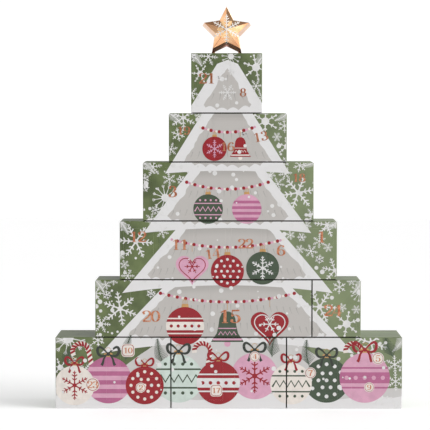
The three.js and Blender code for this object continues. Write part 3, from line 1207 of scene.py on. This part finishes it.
def tin_cup(radius, height):
    inner = radius - tin_bead - tin_wall
    profile = [
        (0, 0.6 * mm), (radius * 0.55, 0.6 * mm), (radius * 0.6, 0.15 * mm), (radius * 0.9, 0),
        (radius * 0.97, 0.3 * mm), (radius - tin_bead, 1.4 * mm),
        (radius - tin_bead * 0.9, height - 2.2 * mm),
        *arc(radius - tin_bead, height - tin_bead, tin_bead, tin_bead, -60, 180, 8),
        (inner, height - 2.4 * mm), (inner, 1.6 * mm), (inner * 0.96, 0.9 * mm), (0, 0.9 * mm),
    ]
    mesh = turned("tin_cup", profile, fluted_steps)
    for vertex in mesh.vertices:
        if 1.5 * mm < vertex.co.z < height - 2 * mm:
            swell = 1 + flute_depth * math.cos(flutes * math.atan2(vertex.co.y, vertex.co.x))
            vertex.co.x *= swell
            vertex.co.y *= swell
    return mesh


def glass_cup(foot, top, height):
    lip = glass_wall / 2
    profile = [
        (0, 0.5 * mm), (foot * 0.7, 0.5 * mm), (foot * 0.82, 0), (foot * 0.94, 0.3 * mm), (foot, 1.6 * mm),
        *arc(top - lip, height - lip, lip, lip, 0, 180, 6),
        (foot - glass_wall, glass_floor + 2 * mm), (foot - glass_wall * 2.4, glass_floor), (0, glass_floor),
    ]
    return turned("glass_cup", profile)


def wax_fill(foot, top, bottom, level):
    """Poured wax: its surface climbs a little at the cup and at the wick, and dips between"""
    at_wick = level + wax_climb * 0.6
    profile = [
        (0, bottom), (foot - wax_bend, bottom), (foot, bottom + wax_bend),
        (top - 0.3 * mm, level + wax_climb), (top * 0.85, level - wax_climb * 0.2),
        (top * 0.5, level - wax_climb * 0.5), (wick_radius * 3, level - 0.1 * mm),
        (wick_radius * 1.1, at_wick), (0, at_wick),
    ]
    return turned("wax", profile)


def wick_cord(bottom, top):
    """Three waxed strands twisted together, with a rounded tip"""
    shape = bmesh.new()
    previous = None
    for i in range(wick_rings + 1):
        share = i / wick_rings
        taper = math.sqrt(max(1 - (max(share - 0.85, 0) / 0.15) ** 2, 0.02))
        ring = []
        for k in range(wick_sides):
            turn = math.tau * k / wick_sides
            radius = wick_radius * taper * (1 + 0.16 * math.cos(3 * (turn - share * 9)))
            across = radius * math.cos(turn) + wick_lean * share * share
            ring.append(shape.verts.new((across, radius * math.sin(turn), bottom + (top - bottom) * share)))
        if previous:
            for k in range(wick_sides):
                n = (k + 1) % wick_sides
                shape.faces.new((previous[k], previous[n], ring[n], ring[k]))
        else:
            shape.faces.new(ring[::-1])
        previous = ring
    shape.faces.new(previous)
    return mesh_of(shape, "wick")


tin, tin_shader, place = finish_of("tea_light_tin", metallic=1.0)
drawn = place.drawn_out(0.08).noise(900, 3, 0.6)
feed(tin_shader, base_color=drawn.shades((196, 198, 202), (226, 228, 230)))
feed(tin_shader, roughness=0.2 + 0.22 * drawn, normal=place.bump(drawn, 0.15, 0.00005))

glass, glass_shader, place = finish_of("votive_glass", transmission_weight=1.0, ior=1.46)
feed(glass_shader, base_color=place.noise(20, 2, 0.5).shades((246, 250, 249), (252, 254, 253)))
feed(glass_shader, roughness=0.02 + 0.04 * place.noise(90, 2, 0.5))

wax, wax_shader, place = finish_of(
    "poured_wax", subsurface_weight=0.4, subsurface_radius=(0.004, 0.003, 0.002), subsurface_scale=0.5)
cloud = place.noise(130, 3, 0.55)
feed(wax_shader, base_color=cloud.shades((232, 224, 206), (244, 239, 226)))
feed(wax_shader, roughness=0.32 + 0.2 * cloud, normal=place.bump(place.noise(420, 3, 0.5), 0.2, 0.0001))

cotton, cotton_shader, place = finish_of("wick_cotton", sheen_weight=0.3)
fluff = place.noise(2600, 3, 0.7)
feed(cotton_shader, base_color=fluff.shades((214, 206, 188), (240, 235, 224)))
feed(cotton_shader, roughness=0.75 + 0.15 * fluff, normal=place.bump(fluff, 0.4, 0.0001))

candle_low, candle_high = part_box("candle_1")
tea_radius = (candle_high.x - candle_low.x) / 2
tea_height = 17 * mm
votive_low, votive_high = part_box("candle_3")
votive_top = (votive_high.x - votive_low.x) / 2
votive_foot = 20 * mm
votive_height = 50 * mm


def candle_parts(cup, foot, top, bottom, level):
    """A candle's cup, wax and wick: the mesh of each with its material and a name.
    The wax is given by its radius at its foot and its top, and by its lowest and highest level."""
    poured = wax_fill(foot, top, bottom, level)
    return {"cup": cup, "wax": (poured, wax, "white_wax"),
            "wick": (wick_cord(bottom + 0.2 * mm, level + wick_height), cotton, "wick_cotton")}


tea_cup = tin_cup(tea_radius, tea_height), tin, "tea_light_tin"
tea_fill = tea_radius - 1.3 * mm
tea_parts = candle_parts(tea_cup, tea_fill, tea_fill, 1.1 * mm, tea_height - wax_below_rim)
votive_cup = glass_cup(votive_foot, votive_top, votive_height), glass, "votive_glass"
votive_fill = votive_foot - glass_wall - 0.1 * mm, votive_top - glass_wall - 0.2 * mm
votive_parts = candle_parts(
    votive_cup, *votive_fill, glass_floor + 0.2 * mm, votive_height - wax_below_rim)
for number in range(1, 25):
    low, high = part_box(f"candle_{number}")
    stands = Vector(((low.x + high.x) / 2, (low.y + high.y) / 2, low.z))
    tall = high.z - low.z > 1.5 * tea_height
    for part, (mesh, finish, slot) in (votive_parts if tall else tea_parts).items():
        piece = new_piece(f"candle_{number}_{part}", mesh.copy())
        piece.data.transform(Matrix.Translation(stands))
        piece.data.materials.append(finish)
        piece.data.shade_smooth()
        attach(piece, "tower")
        if part == "cup":
            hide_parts(f"candle_{number}")


# Star
# A hollow faceted star moulded in plastic and metallised to a copper mirror, with a flat cover
# behind. Its arms' ridges are crisp, and a white snowflake is printed on its face.
# Its downward facets carry painted shade, a darker copper.
ridge_round = 0.25 * mm
ridge_least = math.radians(8)
star_corners = [vertex.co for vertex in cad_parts["star_front"].data.vertices]
star_middle = min(star_corners, key=lambda place: place.y)
star_lean = math.radians(8.8)
arm_length = 17.5
barbs = ((4.6, 1.9), (8.0, 3.0), (11.4, 2.6), (14.4, 1.7))  # where on an arm, and how long
petal_middle = 7.4
petal_length = 3.8
petal_width = 2.2


def mirror_copper(name, flake):
    """Metallised plastic, with painted shade on the facets that face downwards, and as much of the printed
    flake as asked, from 0 to 1
    """
    made, shader, place = finish_of(name)
    ripple = place.noise(70, 2, 0.5)
    copper = ripple.shades((218, 160, 118), (240, 196, 152))
    painted_underside_shade = place.node("ShaderNodeTexCoord", output="Normal").axis("Z") * -1
    # Painted shade: facets that face downwards turn a darker, redder copper
    copper = painted_underside_shade.rise(0.74, 0.84).between(copper, colour(196, 84, 38))
    across = place.part("X") - star_middle.x / mm
    up = (place.part("Z") - star_middle.z / mm) / math.cos(star_lean)
    away = (across * across + up * up) ** 0.5
    sixth = (up.maths("ARCTAN2", across) * (6 / math.tau)).maths("FRACT")
    fold = abs(sixth - 0.5) * (math.tau / 6)
    along, aside = away * fold.maths("COSINE"), away * fold.maths("SINE")
    arms = (0.5 - aside).above(0.12) * (arm_length - along).above(0.12)
    for start, reach in barbs:
        line = (0.45 - abs((along - start) * math.sin(math.pi / 3) - aside * 0.5)).above(0.12)
        arms = arms.most(line * (reach - aside).above(0.12))
    arms = arms.most((1.5 - away).above(0.12))
    half = math.pi / 6 - fold
    petal_along = (away * half.maths("COSINE") - petal_middle) / petal_length
    petal_aside = away * half.maths("SINE") / petal_width
    petals = (1 - petal_along * petal_along - petal_aside * petal_aside).above(0.1)
    arms, petals = arms * flake, petals * flake
    tone = arms.between(petals.between(copper, colour(250, 205, 150)), colour(240, 236, 230))
    inked = arms.most(petals * 0.55)
    feed(shader, base_color=tone, metallic=1 - inked)
    feed(shader, roughness=0.1 + 0.08 * place.noise(220, 3, 0.6) + 0.3 * inked)
    feed(shader, normal=place.bump(ripple, 0.2, 0.0004))
    return made


star_finish = {
    "star_front": mirror_copper("printed_copper", 1.0),
    "star_back": mirror_copper("plain_copper", 0.0),
}
for node, finish in star_finish.items():
    piece = board_from(node, node + "_shell")
    open_mesh(piece, "EDGE")
    shape = bmesh.from_edit_mesh(piece.data)
    for edge in shape.edges:
        ridge = edge.is_manifold and edge.is_convex and edge.calc_face_angle() > ridge_least
        edge.select_set(ridge)
    bmesh.update_edit_mesh(piece.data)
    bpy.ops.mesh.bevel(offset=ridge_round, segments=edge_steps, affect="EDGES")
    close_mesh()
    piece.data.materials.append(finish)
    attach(piece, "star")
    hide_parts(node)


# Floor, light and camera
# The tower stands on a plain white floor in a bright room, dimmer behind the camera, with a
# broad soft light high on the right and two lamps that the star's facets mirror. The camera is
# low and far, at the photograph's angle.


def grey(light):
    return light, light, light, 1.0


bpy.ops.mesh.primitive_plane_add(size=8)
floor = bpy.context.object
floor.name = "floor"
floor_finish, floor_shader, place = finish_of(
    "floor_white", roughness=0.8, specular_ior_level=0.2, emission_color=(1, 1, 1, 1),
    emission_strength=0.28,
)
feed(floor_shader, base_color=place.noise(3, 2, 0.5).between(grey(0.83), grey(0.85)))
floor.data.materials.append(floor_finish)
floor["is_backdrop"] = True

room_white = 1.06
room_dim = 0.34  # the side that the camera stands on
room_ceiling = 0.35
world = bpy.data.worlds.new("studio")
bpy.context.scene.world = world
world.use_nodes = True
coordinates = world.node_tree.nodes.new("ShaderNodeTexCoord")
direction = Value(world.node_tree, coordinates.outputs["Generated"])
room = direction.axis("Y").rise(-0.5, 0.1).between(grey(room_dim), grey(room_white))
room = direction.axis("Z").rise(0.3, 0.75).between(room, grey(room_ceiling))
world.node_tree.links.new(room.socket, world.node_tree.nodes["Background"].inputs["Color"])

bpy.ops.object.light_add(type="SUN", rotation=(math.radians(56), 0, math.radians(72)))
key = bpy.context.object
key.name = "key"
key.data.energy = 2.1
key.data.angle = math.radians(38)
for name, place, aim, size, energy in (
    ("softbox", Vector((1.2, -2.1, 0.75)), Vector((0, 0, 0.2)), 1.4, 8.5),
    ("side_lamp", Vector((-0.93, -1.15, 1.15)), Vector((0, -0.01, 0.43)), 0.9, 2.4),
):
    bpy.ops.object.light_add(type="AREA", location=place)
    lamp = bpy.context.object
    lamp.name = name
    lamp.data.size = size
    lamp.data.energy = energy
    lamp.rotation_euler = (aim - place).to_track_quat("-Z", "Y").to_euler()

camera = bpy.data.objects.new("camera", bpy.data.cameras.new("camera"))
bpy.context.collection.objects.link(camera)
camera.location = (-0.0008, -2.338, 0.3457)
aim = Vector((-0.0158, -0.038, 0.2241))
camera.rotation_euler = (aim - camera.location).to_track_quat("-Z", "Y").to_euler()
camera.data.sensor_width = 36
camera.data.lens = 167.7
bpy.context.scene.camera = camera
bpy.context.scene.view_settings.view_transform = "Standard"

low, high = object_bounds()
{"cad": [list(cad_low), list(cad_high)], "visual": [list(low), list(high)]}
